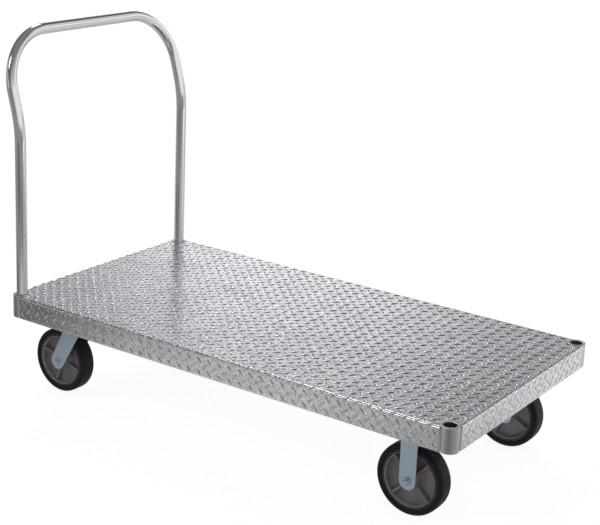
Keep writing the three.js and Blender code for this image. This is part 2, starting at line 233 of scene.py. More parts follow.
def rounded(corners, radius, steps=4):
    """A closed outline whose corners are rounded. The radius is one number, or one for each corner."""
    most = 0.49  # of an edge
    outline = []
    for i, corner in enumerate(corners):
        here = Vector(corner)
        to_last = Vector(corners[i - 1]) - here
        to_next = Vector(corners[(i + 1) % len(corners)]) - here
        size = radius[i] if isinstance(radius, (list, tuple)) else radius
        half_angle = to_last.angle(to_next) / 2
        reach = min(size / math.tan(half_angle), most * to_last.length, most * to_next.length)
        start = here + to_last.normalized() * reach
        end = here + to_next.normalized() * reach
        if reach < 1e-6:
            outline.append(tuple(here))
            continue
        for k in range(steps + 1):
            t = k / steps
            outline.append(tuple(start * (1 - t) ** 2 + here * 2 * t * (1 - t) + end * t**2))
    return outline


def mirrored(line):
    """An outline's lower half of (radius, height) points, followed by its reflection above zero."""
    return line + [(radius, -z) for radius, z in reversed(line)]


def rectangle(x, y):
    """The corners of a rectangle about the origin, from its half sizes."""
    return [(-x, -y), (x, -y), (x, y), (-x, y)]


def hexagon(flats):
    """The corners of a hexagon about the origin, from the distance across its flats."""
    radius = flats / math.sqrt(3)
    return [(radius * math.cos(k * math.pi / 3), radius * math.sin(k * math.pi / 3)) for k in range(6)]


def hex_solid(shell, flats, low, high, chamfer, place):
    """A hexagon bar from low to high whose corners are turned down at both ends, as on a nut."""
    end = 0.9 * flats
    body = [(x, y, z) for z in (low + chamfer, high - chamfer) for x, y in hexagon(flats)]
    ends = [(x, y, z) for z in (low, high) for x, y in hexagon(end)]
    shell.skin([ends[:6], body[:6], body[6:], ends[6:]], place)


def middle_of(node):
    low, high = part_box(node)
    return (low + high) / 2


def upright(centre):
    """A place at a point's x and y, on the ground."""
    return Matrix.Translation((centre.x, centre.y, 0))


def piece(name, shell, material, body, replaces=(), sharp=35):
    """Makes a shell into one shown object that rides on a body and stands for its CAD nodes."""
    mesh = bpy.data.meshes.new(name)
    mesh.from_pydata([tuple(p) for p in shell.points], [], shell.faces)
    mesh.validate()
    mesh.polygons.foreach_set("use_smooth", [True] * len(mesh.polygons))
    mesh.set_sharp_from_angle(angle=math.radians(sharp))
    mesh.materials.append(material)
    made = bpy.data.objects.new(name, mesh)
    bpy.context.scene.collection.objects.link(made)
    weighted = made.modifiers.new("weighted normals", "WEIGHTED_NORMAL")
    weighted.keep_sharp = True
    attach(made, body)
    if replaces:
        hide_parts(*replaces)
    return made


def mark(made, name, values):
    """Gives each point of a piece a number that its material reads."""
    attribute = made.data.attributes.new(name, "FLOAT", "POINT")
    attribute.data.foreach_set("value", values)


# ---- materials


def feed(tree, value, socket):
    """Links the value to a socket if it is one itself, or sets it there."""
    if isinstance(value, bpy.types.NodeSocket):
        tree.links.new(value, socket)
    else:
        socket.default_value = value


def rgba(value):
    """A colour from its three parts, or a grey from one number."""
    return (value, value, value, 1) if isinstance(value, (int, float)) else (*value, 1)


class Finish:
    """A material on the Principled shader, and short calls for the nodes that vary it."""

    def __init__(self, name, colour, roughness, metallic=0.0, **sockets):
        self.material = bpy.data.materials.new(name)
        self.material.use_nodes = True
        self.tree = self.material.node_tree
        self.nodes = self.tree.nodes
        self.shader = next(n for n in self.nodes if n.type == "BSDF_PRINCIPLED")
        self.where = self.nodes.new("ShaderNodeTexCoord").outputs["Object"]
        self.colour = colour
        self.shader.inputs["Base Color"].default_value = rgba(colour)
        self.shader.inputs["Roughness"].default_value = roughness
        self.shader.inputs["Metallic"].default_value = metallic
        for socket, value in sockets.items():
            self.shader.inputs[socket.replace("_", " ")].default_value = value

    def node(self, kind, **inputs):
        made = self.nodes.new(kind)
        for name, value in inputs.items():
            feed(self.tree, value, made.inputs[name.replace("_", " ")])
        return made

    def noise(self, scale, detail=3.0, stretch=(1, 1, 1)):
        """Noise with features about 1 / scale metres across, drawn out where stretch is small."""
        placed = self.node("ShaderNodeMapping", Vector=self.where, Scale=stretch).outputs[0]
        return self.node("ShaderNodeTexNoise", Vector=placed, Scale=scale, Detail=detail).outputs[0]

    def remap(self, value, low, high, new_low, new_high):
        ends = {"From_Min": low, "From_Max": high, "To_Min": new_low, "To_Max": new_high}
        return self.node("ShaderNodeMapRange", Value=value, **ends).outputs[0]

    def attribute(self, name):
        made = self.nodes.new("ShaderNodeAttribute")
        made.attribute_name = name
        return made.outputs["Fac"]

    def mixed(self, blend, factor, first, second):
        """Two colours mixed. Each value may be a socket or plain."""
        made = self.nodes.new("ShaderNodeMix")
        made.data_type = "RGBA"
        made.blend_type = blend
        colours = [socket for socket in made.inputs if socket.type == "RGBA"]
        for value, socket in zip((factor, first, second), (made.inputs["Factor"], *colours)):
            feed(self.tree, value, socket)
        return next(socket for socket in made.outputs if socket.type == "RGBA")

    def tint(self, *layers):
        """Multiplies the colour by each layer in turn: (value, darkest, lightest)."""
        colour = rgba(self.colour)
        for value, dark, light in layers:
            colour = self.mixed("MULTIPLY", 1, colour, self.mixed("MIX", value, rgba(dark), rgba(light)))
        feed(self.tree, colour, self.shader.inputs["Base Color"])

    def rough(self, value, low, high):
        feed(self.tree, self.remap(value, 0.3, 0.7, low, high), self.shader.inputs["Roughness"])

    def bump(self, *layers):
        """Adds bumps, each from (height, strength, distance in metres)."""
        below = {}
        for height, strength, distance in layers:
            shape = {"Height": height, "Strength": strength, "Distance": distance}
            below = {"Normal": self.node("ShaderNodeBump", **shape, **below).outputs[0]}
        feed(self.tree, below["Normal"], self.shader.inputs["Normal"])


def treadplate():
    finish = Finish("treadplate", (0.66, 0.66, 0.68), 0.2, 1.0)
    clouds = finish.noise(9, 4)
    rolling = finish.noise(40, 3, (0.04, 1.2, 1.2))
    grain = finish.remap(finish.noise(200, 4), 0.32, 0.68, 0, 1)
    crown = finish.attribute("crown")
    foot = finish.remap(crown, 0, SHEET_CROWN, 0, 1)
    # The foot layer is painted shade: each lug is darkened to a tenth at its foot and up its steep flanks,
    # standing in for the dark reflections and the crease where it meets the sheet.
    finish.tint(
        (clouds, 0.86, 1.1),
        (foot, 0.1, 1.12),
        (grain, 0.66, 1.34),
        (rolling, 0.93, 1.06),
    )
    worn = finish.node("ShaderNodeMath", Value=finish.remap(crown, SHEET_CROWN, 1, 0.21, 0.14))
    feed(finish.tree, finish.remap(grain, 0, 1, -0.05, 0.06), worn.inputs[1])
    feed(finish.tree, worn.outputs[0], finish.shader.inputs["Roughness"])
    finish.bump((rolling, 0.25, 0.0004), (grain, 0.5, 0.0002))
    return finish.material


def mill_aluminium(name, tone, roughness):
    finish = Finish(name, tone, roughness, 1.0)
    clouds = finish.noise(14, 3)
    drawn = finish.noise(160, 2, (1, 1, 0.03))
    finish.tint((clouds, 0.85, 1.1), (drawn, 0.93, 1.05))
    finish.rough(clouds, roughness - 0.05, roughness + 0.08)
    finish.bump((drawn, 0.15, 0.0003))
    return finish.material


def polished_tube():
    finish = Finish("polished_tube", (0.74, 0.76, 0.76), 0.1, 1.0)
    clouds = finish.noise(6, 3)
    hairlines = finish.noise(300, 3, (1, 1, 0.02))
    finish.tint((clouds, 0.9, 1.08), (hairlines, 0.95, 1.04))
    finish.rough(clouds, 0.07, 0.15)
    finish.bump((hairlines, 0.06, 0.0002))
    return finish.material


def zinc_plate():
    finish = Finish("zinc_plate", (0.53, 0.64, 0.73), 0.3, 1.0)
    bloom = finish.noise(24, 4)
    grain = finish.noise(420, 3)
    finish.tint((bloom, (0.9, 0.97, 1.0), (1.12, 1.06, 1.02)), (grain, 0.92, 1.06))
    finish.rough(bloom, 0.28, 0.44)
    finish.bump((grain, 0.12, 0.0002))
    return finish.material


def cast_iron():
    finish = Finish("cast_iron", (0.2, 0.183, 0.18), 0.5, 0.3)
    clouds = finish.noise(28, 4)
    grain = finish.noise(700, 3)
    rim_black_and_highlight = finish.attribute("rim_black_and_highlight")
    # The rim's face is made near black, and a painted highlight lightens the thin band along its inner
    # edge to twice the colour.
    finish.tint(
        (clouds, 0.6, 1.45),
        (grain, 0.8, 1.2),
        (rim_black_and_highlight, 0.2, 2.1),
    )
    finish.rough(clouds, 0.4, 0.58)
    finish.bump((grain, 0.35, 0.0004), (clouds, 0.15, 0.0008))
    return finish.material


def tyre_rubber():
    finish = Finish("tyre_rubber", (0.008, 0.0078, 0.0075), 0.55, Specular_IOR_Level=0.22)
    dust = finish.noise(18, 4)
    pores = finish.noise(900, 2)
    finish.tint((dust, 0.7, 1.7), (pores, 0.85, 1.15))
    finish.rough(dust, 0.42, 0.6)
    finish.bump((pores, 0.2, 0.0003))
    return finish.material


def turned_steel():
    finish = Finish("bearing_steel", (0.5, 0.5, 0.51), 0.3, 1.0)
    oil = finish.noise(60, 3)
    finish.tint((oil, 0.7, 1.1))
    finish.rough(oil, 0.22, 0.4)
    finish.bump((finish.noise(500, 2), 0.1, 0.0002))
    return finish.material


TREADPLATE = treadplate()
ALUMINIUM = mill_aluminium("mill_aluminium", (0.6, 0.6, 0.62), 0.26)
STRUCTURE = mill_aluminium("structural_aluminium", (0.5, 0.5, 0.51), 0.38)
TUBE = polished_tube()
ZINC = zinc_plate()
IRON = cast_iron()
RUBBER = tyre_rubber()
STEEL = turned_steel()

# ---- treadplate deck


def notch_end(depth):
    """How far from the corner the folded sheet starts, at a depth behind the skirt's outer face."""
    side = socket_radius - max(depth, PLATE)
    return socket_radius + math.sqrt(notch_reach**2 - side**2)


def fold(u, v, height):
    """A point on the sheet's outer face, from where it lay before folding, raised by a height."""
    x_flat = half_length - BEND
    y_flat = half_width - BEND
    over_x = abs(u) - x_flat
    over_y = abs(v) - y_flat
    if over_x <= 0 and over_y <= 0:
        return Vector((u, v, deck_top + height))
    over = max(over_x, over_y)
    angle = min(over / BEND, math.pi / 2)
    drop = max(over - BEND * math.pi / 2, 0)
    out = (BEND + height) * math.sin(angle)
    z = deck_top - BEND + (BEND + height) * math.cos(angle) - drop
    if over_x > over_y:
        return Vector((math.copysign(x_flat + out, u), v, z))
    return Vector((u, math.copysign(y_flat + out, v), z))


def on_sheet(u, v, margin):
    """Whether a point of the unfolded sheet is on it, and that far inside its cut edges."""
    over_x = abs(u) - (half_length - BEND)
    over_y = abs(v) - (half_width - BEND)
    skirt_end = BEND * math.pi / 2 + (deck_top - skirt_foot - BEND) - margin
    if over_x > 0 and over_y > 0:
        return False
    if over_y > 0:
        return over_y < skirt_end and abs(u) < half_length - notch_end(BEND) - margin
    if over_x > 0:
        return over_x < skirt_end and abs(v) < half_width - notch_end(BEND) - margin
    across = Vector((half_length - socket_radius - abs(u), half_width - socket_radius - abs(v)))
    return across.length > notch_reach + margin


def quarter_turned(x, y, turns):
    for _ in range(turns):
        x, y = -y, x
    return x, y


def folded_sheet(shell):
    """The bare sheet: the top with its round corner notches, and four folded skirts."""
    bends = 6
    foot_round = 1.2 * MM
    inner_bend = BEND - PLATE
    profile = []
    for k in range(bends + 1):
        angle = math.pi / 2 * k / bends
        profile.append((BEND - BEND * math.sin(angle), deck_top - BEND + BEND * math.cos(angle)))
    profile.append((0, skirt_foot + foot_round))
    profile.append((foot_round, skirt_foot))
    profile.append((PLATE - foot_round, skirt_foot))
    profile.append((PLATE, skirt_foot + foot_round))
    for k in range(bends + 1):
        angle = math.pi / 2 * (1 - k / bends)
        inner = BEND - inner_bend * math.sin(angle)
        profile.append((inner, deck_top - BEND + inner_bend * math.cos(angle)))

    points = []
    faces = []
    arc_steps = 14
    corners = [(1, 1), (-1, 1), (-1, -1), (1, -1)]
    side = socket_radius - BEND
    spread = math.acos(side / notch_reach)
    top_ring = []
    low_ring = []
    for sx, sy in corners:
        arc = []
        for k in range(arc_steps + 1):
            angle = -spread - (math.pi * 1.5 - 2 * spread) * k / arc_steps
            x = half_length - socket_radius + notch_reach * math.cos(angle)
            y = half_width - socket_radius + notch_reach * math.sin(angle)
            arc.append((sx * x, sy * y))
        if sx * sy < 0:
            arc.reverse()
        for x, y in arc:
            top_ring.append(len(points))
            points.append((x, y, deck_top))
            low_ring.append(len(points))
            points.append((x, y, deck_top - PLATE))
    faces.append(tuple(top_ring))
    faces.append(tuple(reversed(low_ring)))
    per_corner = arc_steps + 1
    for c in range(4):
        for k in range(arc_steps):
            i = c * per_corner + k
            faces.append((top_ring[i], low_ring[i], low_ring[i + 1], top_ring[i + 1]))
    for c in range(4):
        last = c * per_corner + arc_steps
        following = (last + 1) % len(top_ring)
        along, across = (half_width, half_length) if c % 2 else (half_length, half_width)
        rows = [(top_ring[last], top_ring[following])]
        for depth, z in profile[1:-1]:
            reach = along - notch_end(depth)
            rows.append((len(points), len(points) + 1))
            points.extend((*quarter_turned(x, across - depth, c), z) for x in (reach, -reach))
        rows.append((low_ring[last], low_ring[following]))
        for (a, b), (d, e) in zip(rows, rows[1:]):
            faces.append((a, d, e, b))
        faces.append(tuple(row[0] for row in reversed(rows)))
        faces.append(tuple(row[1] for row in rows))
    shell.add(points, faces)


def lug(shell, crowns, u, v, direction):
    """One raised lug, domed both along and across like half a lens, cut off where the sheet ends."""
    along = Vector((math.cos(direction), math.sin(direction)))
    across = Vector((-along.y, along.x))
    samples = 24
    least_length = 4  # samples
    margin = 0.6 * MM
    inside = []
    for k in range(samples + 1):
        t = -1 + 2 * k / samples
        width = LUG_WIDTH / 2 * (1 - t * t)
        at = Vector((u, v)) + along * (t * LUG_LENGTH / 2)
        edges = [at + across * (side * width) for side in (-1, 0, 1)]
        inside.append(all(on_sheet(p.x, p.y, margin) for p in edges))
    if not any(inside):
        return
    start = inside.index(True)
    end = start
    while end < samples and inside[end + 1]:
        end += 1
    if end - start < least_length:
        return
    first = -1 + 2 * start / samples
    last = -1 + 2 * end / samples
    steps = 6 if flat_lug(u, v) else 14
    rings = []
    for k in range(steps + 1):
        t = first + (last - first) * k / steps
        taper = max(1 - t * t, 0.04)
        width = LUG_WIDTH / 2 * taper**0.75
        height = LUG_HEIGHT * taper**0.6
        at = Vector((u, v)) + along * (t * LUG_LENGTH / 2)
        dome = [(side, height * (1 - side * side)) for side in (0.84, 0.48, 0, -0.48, -0.84)]
        section = [(1, -LUG_SUNK), *dome, (-1, -LUG_SUNK)]
        ring = []
        for side, raised in section:
            p = at + across * (side * width)
            ring.append(fold(p.x, p.y, raised))
            crowns.append(1 - abs(side) ** 3)
        rings.append(ring)
    shell.skin(rings)


def flat_lug(u, v):
    """Whether a lug lies wholly on the flat top."""
    reach = BEND + LUG_LENGTH / 2
    return abs(u) < half_length - reach and abs(v) < half_width - reach


def deck_lugs(shell, crowns, on_top):
    """Lugs in two crossed families, each pointing at the other's sides: those on the top, or the rest."""
    reach_u = half_length + deck_top - skirt_foot
    reach_v = half_width + deck_top - skirt_foot
    columns = math.ceil(reach_u / LUG_PITCH)
    rows = math.ceil(reach_v / LUG_PITCH)
    for family, turn in ((0, math.pi / 4), (0.5, -math.pi / 4)):
        for i in range(-columns, columns + 1):
            for j in range(-rows, rows + 1):
                u = LUG_START[0] + (i + family) * LUG_PITCH
                v = LUG_START[1] + (j + family) * LUG_PITCH
                if flat_lug(u, v) == on_top and on_sheet(u, v, -LUG_LENGTH / 2):
                    lug(shell, crowns, u, v, turn)


def tread_piece(name, on_top, replaces):
    """The folded sheet with the lugs on its top, or the lugs that run over its bends and skirts."""
    shell = Shell()
    if on_top:
        folded_sheet(shell)
    crowns = [SHEET_CROWN] * len(shell.points)
    deck_lugs(shell, crowns, on_top)
    shell.points = [upright(deck_middle) @ p for p in shell.points]
    made = piece(name, shell, TREADPLATE, "deck", replaces, sharp=50)
    mark(made, "crown", crowns)


tread_piece("treadplate_sheet", True, ["tread_deck"])
tread_piece("treadplate_skirt_lugs", False, [])

# ---- corner sockets


def corner_socket(end_name, side_name):
    node = f"corner_socket_{end_name}_{side_name}"
    low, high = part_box(node)
    floor_top = low.z + SOCKET_FLOOR
    corners = [
        (SOCKET_DRAIN, low.z),
        (socket_radius, low.z),
        (socket_radius, high.z),
        (SOCKET_BORE, high.z),
        (SOCKET_BORE, floor_top),
        (SOCKET_DRAIN, floor_top),
    ]
    outline = rounded(corners, [0.5 * MM, 1.5 * MM, 2 * MM, 1.6 * MM, 1 * MM, 0.5 * MM], 4)
    shell = Shell()
    shell.spin(outline, 72, upright(middle_of(node)))
    piece(f"socket_cup_{end_name}_{side_name}", shell, ALUMINIUM, "deck", [node])

    beads = Shell()
    end = ENDS[end_name]
    side = SIDES[side_name]
    corner = Vector((deck_middle.x + end * half_length, deck_middle.y + side * half_width, 0))
    bead_reach = 41 * MM
    bead_depth = 2.3 * MM
    for along, depth in ((bead_reach, bead_depth), (bead_depth, bead_reach)):
        at = corner - Vector((end * along, side * depth, 0))
        weld_bead(beads, at + UP * (low.z + 3 * MM), at + UP * (deck_top - 5 * MM), 2.7 * MM)
    piece(f"socket_welds_{end_name}_{side_name}", beads, ALUMINIUM, "deck")


def weld_bead(shell, start, end, radius):
    """A rippled weld bead between two points."""
    run = end - start
    turn = run.to_track_quat("Z", "Y").to_matrix().to_4x4()
    ripples = max(3, round(run.length / (2.4 * MM)))
    sections = [(radius * 0.35, 0)]
    for k in range(ripples * 3 + 1):
        share = k / (ripples * 3)
        swell = 1 + 0.12 * math.cos(2 * math.pi * k / 3)
        edge = min(1, 6 * min(share, 1 - share) + 0.55)
        sections.append((radius * swell * edge, run.length * (0.01 + 0.98 * share)))
    sections.append((radius * 0.35, run.length))
    shell.stack(sections, 12, Matrix.Translation(start) @ turn)


for end_name in ENDS:
    for side_name in SIDES:
        corner_socket(end_name, side_name)

# ---- underside frame


def channel_piece(name, length_axis, wall, bend):
    """A folded channel in the place of its CAD node: the web below, two flanges up to the deck."""
    low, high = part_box(name)
    size = high - low
    along_x = length_axis == "X"
    length = size.x if along_x else size.y
    half = (size.y if along_x else size.x) / 2
    height = size.z
    one_side = [(half, 0), (half, height), (half - wall, height), (half - wall, wall)]
    other_side = [(-x, y) for x, y in reversed(one_side)]
    lip = 0.8 * MM
    radii = [bend, lip, lip, bend - wall * 0.6]
    outline = rounded(one_side + other_side, radii + radii[::-1], 5)
    stand = Matrix.Rotation(math.pi / 2, 4, "Z") @ Matrix.Rotation(math.pi / 2, 4, "X")
    if not along_x:
        stand = Matrix.Rotation(math.pi / 2, 4, "Z") @ stand
    shell = Shell()
    place = Matrix.Translation(UP * low.z) @ upright(middle_of(name)) @ stand
    shell.prism(outline, -length / 2, length / 2, 0.5 * MM, place)
    piece(f"{name}_channel", shell, STRUCTURE, "deck", [name])


BRACES = {f"stringer_{name}": "X" for name in ("left", "centre", "right")}
BRACES.update({f"cross_rib_{name}": "Y" for name in SIDES})
for end_name in ENDS:
    channel_piece(f"caster_bolster_{end_name}", "Y", BOLSTER_WALL, 9 * MM)
for name, length_axis in BRACES.items():
    channel_piece(name, length_axis, BRACE_WALL, 7 * MM)


def frame_welds():
    """Beads where the stringers and ribs meet the bolsters and each other."""
    shell = Shell()
    short = 3 * MM
    for name in BRACES:
        low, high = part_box(name)
        for x in (low.x, high.x):
            for y in (low.y, high.y):
                ends = [Vector((x, y, z)) for z in (low.z + short, high.z - short)]
                weld_bead(shell, *ends, 2.6 * MM)
    piece("frame_welds", shell, STRUCTURE, "deck")


frame_welds()

# ---- push handle


def handle_line():
    """The tube's centreline as points, from one foot over the crossbar to the other."""
    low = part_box("push_handle")[0]
    leg = middle_of("corner_socket_rear_left")
    knee_start = KNEE_HEIGHT - KNEE_RADIUS * math.tan(TUBE_LEAN / 2)
    knee_rise = KNEE_RADIUS * math.sin(TUBE_LEAN)
    knee_setback = KNEE_RADIUS * (1 - math.cos(TUBE_LEAN))
    lean_length = (TUBE_TOP - knee_start - knee_rise) / math.cos(TUBE_LEAN)
    knee_length = KNEE_RADIUS * TUBE_LEAN

    def up_leg(distance):
        above = distance - (knee_start - low.z)
        if above <= 0:
            return 0, low.z + distance
        if above <= knee_length:
            angle = above / KNEE_RADIUS
            return KNEE_RADIUS * (1 - math.cos(angle)), knee_start + KNEE_RADIUS * math.sin(angle)
        straight = above - knee_length
        setback = knee_setback + straight * math.sin(TUBE_LEAN)
        return setback, knee_start + knee_rise + straight * math.cos(TUBE_LEAN)

    leg_length = knee_start - low.z + knee_length + lean_length - TUBE_CORNER
    half = []
    for distance in np.concatenate([[0], np.linspace(0.06, leg_length, 40)]):
        setback, z = up_leg(distance)
        half.append(Vector((leg.x - setback, leg.y, z)))
    corner_steps = 24
    for k in range(1, corner_steps + 1):
        turn = math.pi / 2 * k / corner_steps
        setback, z = up_leg(leg_length + TUBE_CORNER * math.sin(turn))
        half.append(Vector((leg.x - setback, leg.y - TUBE_CORNER * (1 - math.cos(turn)), z)))
    other = [Vector((p.x, -p.y, p.z)) for p in reversed(half)]
    return half + other


def push_handle():
    """A tube along the line, whose cross-section is carried round the bends without twisting."""
    line = handle_line()
    angles = np.linspace(0, 2 * math.pi, 41)[:-1]
    outer = []
    inner = []
    tangent = (line[1] - line[0]).normalized()
    normal = Vector((1, 0, 0))
    for i, point in enumerate(line):
        ahead = line[min(i + 1, len(line) - 1)] - line[max(i - 1, 0)]
        turn = tangent.rotation_difference(ahead.normalized())
        normal.rotate(turn)
        tangent = ahead.normalized()
        side = tangent.cross(normal)
        ring = [normal * math.cos(a) + side * math.sin(a) for a in angles]
        outer.append([point + r * TUBE_RADIUS for r in ring])
        inner.append([point + r * TUBE_BORE for r in ring])
    shell = Shell()
    shell.skin(outer + inner[::-1], looped=True)
    piece("handle_tube_bent", shell, TUBE, "handle", ["push_handle"])


push_handle()

# ---- wheels

NUT_FACE = FORK_INSIDE / 2 + FORK_WALL + 0.3 * MM


def tyre(place):
    """A solid tyre with a nearly flat tread and round shoulders."""
    half = WHEEL_WIDTH / 2
    shell = Shell()
    lower = [
        (CORE_RADIUS + 0.3 * MM, -half + 1.5 * MM),
        (CORE_RADIUS + 4 * MM, -half + 0.4 * MM),
        (WHEEL_RADIUS - 7 * MM, -half),
        (WHEEL_RADIUS - 0.8 * MM, -half + 4 * MM),
        (WHEEL_RADIUS, -half + 12 * MM),
    ]
    radii = [0.6 * MM, 1 * MM, 5 * MM, 4 * MM, 8 * MM]
    shell.spin(rounded(mirrored(lower), radii + radii[::-1], 4), 128, place)
    return shell


def wheel_core(place, rest_angle):
    """A cast core: rim, web, hub, and ribs that stand on both of the web's faces."""
    rim_half = 23 * MM
    web = 4 * MM
    hub_half = 27 * MM
    bore = 16 * MM
    lower = [
        (bore, -hub_half),
        (HUB_RADIUS, -hub_half),
        (HUB_RADIUS + 9 * MM, -web),
        (RIM_INNER - 3 * MM, -web),
        (RIM_INNER, -rim_half),
        (CORE_RADIUS, -rim_half),
    ]
    radii = [1 * MM, 2.5 * MM, 7 * MM, 5 * MM, 1.6 * MM, 1 * MM]
    shell = Shell()
    shell.spin(rounded(mirrored(lower), radii + radii[::-1], 5), 128, place)
    rib_half = rim_half - 5 * MM
    for k in range(CORE_RIBS):
        turn = place @ Matrix.Rotation(rest_angle + 2 * math.pi * k / CORE_RIBS, 4, "Z")
        for face in (1, -1):
            rings = []
            for x in np.linspace(HUB_RADIUS - 1 * MM, RIM_INNER + 1 * MM, 7):
                share = (x - HUB_RADIUS) / (RIM_INNER - HUB_RADIUS)
                flare = 1 + 0.7 * (2 * share - 1) ** 4
                foot = 6.5 * MM * flare
                crest = 3.2 * MM * flare
                top = rib_half - 2.5 * MM * math.sin(math.pi * min(max(share, 0), 1))
                section = [(-foot, 2 * MM), (foot, 2 * MM), (crest, top), (-crest, top)]
                outline = rounded(section, [0.3 * MM, 0.3 * MM, 1.6 * MM, 1.6 * MM], 3)
                rings.append([(x, y * face, z * face) for y, z in outline])
            shell.skin(rings, turn)
    return shell


def core_rim_black_and_highlight(point):
    """0 on the rim's blackened face, 1 on a thin band along its inner edge where a highlight is painted,
    and a half elsewhere.
    """
    radius = math.hypot(point.x, point.y)
    if radius > RIM_INNER + 1.2 * MM:
        return 0.0
    if radius > RIM_INNER - 1 * MM and abs(point.z) > 20 * MM:
        return 1.0
    return 0.5


def washer(shell, inner, outer, low, high, place, edge=0.5 * MM):
    """A round ring with softened edges."""
    corners = [(inner, low), (outer, low), (outer, high), (inner, high)]
    shell.spin(rounded(corners, edge, 3), 40, place)


def roller_bearing(place):
    """A cage of rollers between the hub's bore and the axle sleeve."""
    shell = Shell()
    half = 25 * MM
    inner, outer = 9.9 * MM, 15.6 * MM
    for low, high in ((-half, -half + 3 * MM), (half - 3 * MM, half)):
        washer(shell, inner, outer, low, high, place)
    rollers = 12
    middle = (inner + outer) / 2
    radius = (outer - inner) / 2 - 0.1 * MM
    for k in range(rollers):
        turn = Matrix.Rotation(2 * math.pi * k / rollers, 4, "Z") @ Matrix.Translation((middle, 0, 0))
        inner_end = half - 3.2 * MM
        edge = 0.4 * MM
        sections = mirrored([(radius - edge, -inner_end), (radius, -inner_end + edge)])
        shell.stack(sections, 12, place @ turn)
    return shell


def axle_bolt(place):
    """A hex bolt whose head is on the wheel's left side and whose thread ends past the nut."""
    shell = Shell()
    head_end = -NUT_FACE - 8 * MM
    hex_solid(shell, AXLE_HEX, head_end, -NUT_FACE - 0.8 * MM, 1.3 * MM, place)
    collar = [(8.4 * MM, -NUT_FACE - 1.2 * MM), (8.6 * MM, -NUT_FACE - 0.9 * MM), (8.6 * MM, -NUT_FACE)]
    shell.stack(collar, 32, place)
    shell.stack([(4 * MM, head_end - 0.5 * MM), (7 * MM, head_end + 0.3 * MM)], 32, place)
    threads_from = NUT_FACE - 2 * MM
    end = NUT_FACE + 14 * MM
    sections = [(AXLE_RADIUS, -NUT_FACE - 0.5 * MM), (AXLE_RADIUS, threads_from)]
    pitch = 1.75 * MM
    z = threads_from + 0.3 * MM
    while z < end - 1.6 * MM:
        sections.append((AXLE_RADIUS, z))
        sections.append((AXLE_RADIUS - 0.8 * MM, z + pitch / 2))
        z += pitch
    sections.append((5.6 * MM, end - 1.2 * MM))
    sections.append((4.6 * MM, end))
    shell.stack(sections, 28, place)
    return shell


def axle_nut(place):
    """A lock nut with a flange below and a round collar above its hexagon."""
    shell = Shell()
    top = NUT_FACE + 8.3 * MM
    washer(shell, AXLE_BORE, 11.5 * MM, NUT_FACE, NUT_FACE + 1.6 * MM, place, 0.4 * MM)
    hex_ring(shell, AXLE_HEX, AXLE_BORE, NUT_FACE + 1.2 * MM, top, place)
    bore = 6.3 * MM
    foot = top - 1 * MM
    crest = top + 2.6 * MM
    collar = [(bore, foot), (8.6 * MM, foot), (8.2 * MM, crest), (bore, crest)]
    shell.spin(rounded(collar, 0.9 * MM, 3), 40, place)
    return shell


def hex_ring(shell, flats, bore, low, high, place):
    """A bored hexagon whose corners are turned down to a circle just wider than its flats."""
    columns = 48
    turned_radius = 1.02 * flats / 2
    fall = 14.4 * MM / turned_radius
    rings = []
    for k in range(columns):
        angle = -2 * math.pi * k / columns
        from_flat = (angle + math.pi / 6) % (math.pi / 3) - math.pi / 6
        edge = flats / 2 / math.cos(from_flat)
        turned_edge = min(edge, turned_radius)
        drop = fall * (edge - turned_edge)
        section = [
            (bore, low),
            (turned_edge, low),
            (edge, low + drop),
            (edge, high - drop),
            (turned_edge, high),
            (bore, high),
        ]
        rings.append([(r * math.cos(angle), r * math.sin(angle), z) for r, z in section])
    shell.skin(rings, place, looped=True)


def wheel(name, frame_body):
    """Everything on one axle. The turning pieces ride on the wheel, and the axle's on what holds it."""
    at = upright(middle_of(f"tyre_{name}")) @ Matrix.Translation(UP * WHEEL_RADIUS)
    place = at @ Matrix.Rotation(math.pi / 2, 4, "X")
    body = f"wheel_{name}"
    piece(f"tyre_moulded_{name}", tyre(place), RUBBER, body, [f"tyre_{name}"])
    core = wheel_core(place, REST_ANGLES[name])
    casting = piece(f"core_casting_{name}", core, IRON, body, [f"wheel_core_{name}"])
    mark(casting, "rim_black_and_highlight", [core_rim_black_and_highlight(place.inverted() @ point) for point in core.points])
    rollers = roller_bearing(place)
    piece(f"bearing_rollers_{name}", rollers, STEEL, body, [f"roller_bearing_{name}"])

    sleeve = Shell()
    sleeve_half = FORK_INSIDE / 2 - 0.3 * MM
    washer(sleeve, AXLE_BORE, 9.5 * MM, -sleeve_half, sleeve_half, place)
    piece(f"axle_spanner_{name}", sleeve, STEEL, frame_body, [f"axle_sleeve_{name}"])
    hub_face = 27.3 * MM
    for which, z in (("inner", hub_face), ("outer", -hub_face - HUB_WASHER)):
        ring = Shell()
        washer(ring, 9.8 * MM, 19 * MM, z, z + HUB_WASHER, place, 0.8 * MM)
        node = f"hub_washer_{which}_{name}"
        piece(f"thrust_washer_{which}_{name}", ring, ZINC, frame_body, [node])
    piece(f"axle_screw_{name}", axle_bolt(place), ZINC, frame_body, [f"axle_bolt_{name}"])
    piece(f"axle_locknut_{name}", axle_nut(place), ZINC, frame_body, [f"axle_nut_{name}"])


for side_name in SIDES:
    wheel(f"rear_{side_name}", f"swivel_{side_name}")
    wheel(f"front_{side_name}", "deck")

# ---- casters


def leg_outline(rear, front, top, end_x):
    """A fork leg seen from its side: straight edges that run tangent into a round end."""
    outline = [(front, top), (rear, top)]
    angles = []
    for corner_x, side in ((rear, 1), (front, -1)):
        to_corner = math.atan2(top - WHEEL_RADIUS, corner_x - end_x)
        distance = math.hypot(top - WHEEL_RADIUS, corner_x - end_x)
        angles.append(to_corner + side * math.acos(FORK_END / distance))
    steps = 24
    sweep = angles[1] + 2 * math.pi - angles[0]
    for k in range(steps + 1):
        angle = angles[0] + sweep * k / steps
        outline.append((end_x + FORK_END * math.cos(angle), WHEEL_RADIUS + FORK_END * math.sin(angle)))
    return outline


